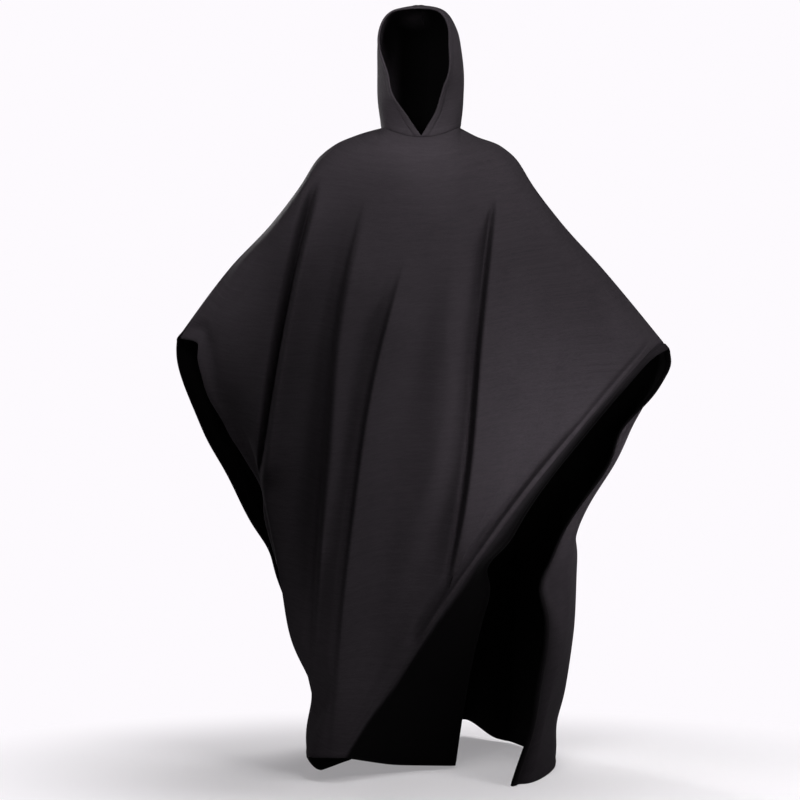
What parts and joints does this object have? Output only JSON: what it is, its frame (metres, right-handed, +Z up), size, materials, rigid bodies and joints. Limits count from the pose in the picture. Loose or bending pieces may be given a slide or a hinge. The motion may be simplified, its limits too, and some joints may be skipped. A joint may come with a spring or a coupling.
{
  "type": "blanket hoodie",
  "caption": "Wide hooded poncho of thick dark blanket cloth, in the hollow shape it has when worn, with a long draped front, open sides and hem, and an upright hood open at the face.",
  "frame": {"origin": "middle of the neckline, where the garment is held up by its wearer", "axes": "+X to the right as the front is seen, the front faces -Y, +Z up along the garment's height"},
  "size_m": [1.1645, 0.7306, 1.7784],
  "materials": {
    "blanket": "matt brushed knit blanket cloth, near-black grey"
  },
  "bodies": {
    "root": {"front": "blanket", "back": "blanket", "hood_left": "blanket", "hood_right": "blanket"}
  },
  "joints": []
}
